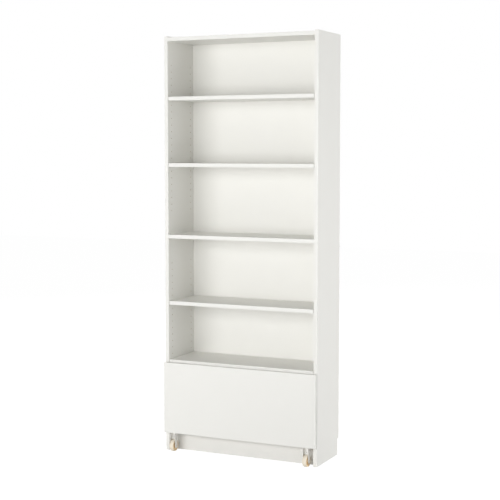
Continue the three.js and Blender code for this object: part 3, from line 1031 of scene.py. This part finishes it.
# Axle: a steel rivet through the hub and both legs of the bracket. It is closed by a low
# domed head on each side.

RIVET_RADIUS = 0.003
RIVET_HEAD_RADIUS = 0.005
RIVET_HEAD = 0.0015
RIVET_STEPS = 6

for side in ("left", "right"):
    low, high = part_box(f"caster_axle_{side}")
    half = (high.x - low.x) / 2
    dome = [math.pi / 2 * i / RIVET_STEPS for i in range(RIVET_STEPS + 1)]
    head = [(RIVET_HEAD_RADIUS * math.cos(a), half - RIVET_HEAD * (1 - math.sin(a))) for a in dome]
    end = [(RIVET_RADIUS, half - RIVET_HEAD), *head]
    shape = bmesh.new()
    spun(shape, [*[(r, -x) for r, x in reversed(end)], *end])
    place_at(shape, middle_of(f"caster_axle_{side}"))
    rivet = new_piece(f"rivet_{side}", shape, screw_steel)
    rivet.data.shade_smooth()
    rivet.data.set_sharp_from_angle(angle=STEEL_SHARP_ANGLE)
    fit(rivet, "drawer", "screw_steel", f"caster_axle_{side}")

# Caster screws: round heads with a cross recess, driven through the plate into the
# rear face of the drawer front.

SCREW_HEAD = 0.0022

shank = plate_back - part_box(screw_nodes[0])[0].y
places = [(middle_of(n).x, plate_back, middle_of(n).z) for n in screw_nodes]
recipe = screw_recipe(shank, SCREW_HEAD, (-math.pi / 2, 0.0, 0.0))
screws = cluster("caster_screws", places, recipe, screw_steel)
fit(screws, "drawer", "screw_steel", *screw_nodes)

# Studio: a white floor under a white sky. To the camera and in reflections both are white
# and run into each other, and the floor still takes a soft shadow.

FLOOR_HALF = 12.0
FLOOR_GREY = 0.8
FLOOR_OWN_WHITE = 0.8
FLOOR_GLOW = 1.2
SKY = 0.2


def seen_directly(nodes):
    """1 for rays from the camera and for those that metal, gloss or glass sends on."""
    names = ("Is Camera Ray", "Is Glossy Ray", "Is Transmission Ray")
    camera_ray, glossy, through = [nodes.node("ShaderNodeLightPath", output=n) for n in names]
    return (camera_ray + glossy + through).math("MINIMUM", 1.0)


floor_white = bpy.data.materials.new("studio floor")
floor_white.use_nodes = True
look = Nodes(floor_white.node_tree)
look.tree.nodes.clear()
diffuse = look.node("ShaderNodeBsdfDiffuse", {}, {"Color": (FLOOR_GREY,) * 3})
glow = look.node("ShaderNodeEmission", {}, {"Color": (1, 1, 1), "Strength": FLOOR_GLOW})
share = seen_directly(look) * FLOOR_OWN_WHITE
surface = look.node("ShaderNodeMixShader", {}, {0: share, 1: diffuse, 2: glow})
look.node("ShaderNodeOutputMaterial", {}, {"Surface": surface}, output=None)
shape = bmesh.new()
corners = [(-FLOOR_HALF, -FLOOR_HALF), (FLOOR_HALF, -FLOOR_HALF),
           (FLOOR_HALF, FLOOR_HALF), (-FLOOR_HALF, FLOOR_HALF)]
shape.faces.new([shape.verts.new((x, y, 0)) for x, y in corners])
floor = new_piece("studio_floor", shape, floor_white)

world = bpy.data.worlds.new("studio")
bpy.context.scene.world = world
world.use_nodes = True
sky = Nodes(world.node_tree)
sky.tree.nodes.clear()
strength = seen_directly(sky) * (1 - SKY) + SKY
background = sky.node("ShaderNodeBackground", {}, {"Color": (1, 1, 1), "Strength": strength})
sky.node("ShaderNodeOutputWorld", {}, {"Surface": background}, output=None)

# Studio lamps: soft panels in front, at the right and, higher up, behind at the left. Each
# has a place, a width and height, and a power, and faces the middle of the bookcase.

LAMP_AIM = Vector((0, 0, 1))
LAMPS = {
    "front panel": ((-0.61, -4.94, 1.44), (5.2, 2.4), 177.0),
    "right panel": ((4.99, 0.0, 1.35), (2.4, 2.4), 114.0),
    "rear panel": ((-2.9, 2.9, 3.87), (3.0, 2.4), 144.0),
}
for name, (place, (width, height), power) in LAMPS.items():
    lamp = bpy.data.lights.new(name, "AREA")
    lamp.shape, lamp.size, lamp.size_y, lamp.energy = "RECTANGLE", width, height, power
    holder = bpy.data.objects.new(name, lamp)
    holder.location = place
    holder.rotation_euler = (LAMP_AIM - Vector(place)).to_track_quat("-Z", "Y").to_euler()
    bpy.context.collection.objects.link(holder)

# Camera: at standing eye height to the right of the bookcase. It looks a little down, and
# a small lens shift brings the bookcase to the middle of the picture.

CAMERA_PLACE = (2.4593, -5.2179, 1.4677)
CAMERA_YAW = 25.2409
CAMERA_PITCH = 4.2251
SENSOR = 36
LENS = 86.304
SHIFT_UP = -0.02

lens = bpy.data.cameras.new("camera")
lens.sensor_width, lens.lens, lens.shift_y = SENSOR, LENS, SHIFT_UP
camera = bpy.data.objects.new("camera", lens)
camera.location = CAMERA_PLACE
camera.rotation_euler = (math.radians(90 - CAMERA_PITCH), 0, math.radians(CAMERA_YAW))
bpy.context.collection.objects.link(camera)
bpy.context.scene.camera = camera
bpy.context.scene.view_settings.view_transform = "Standard"
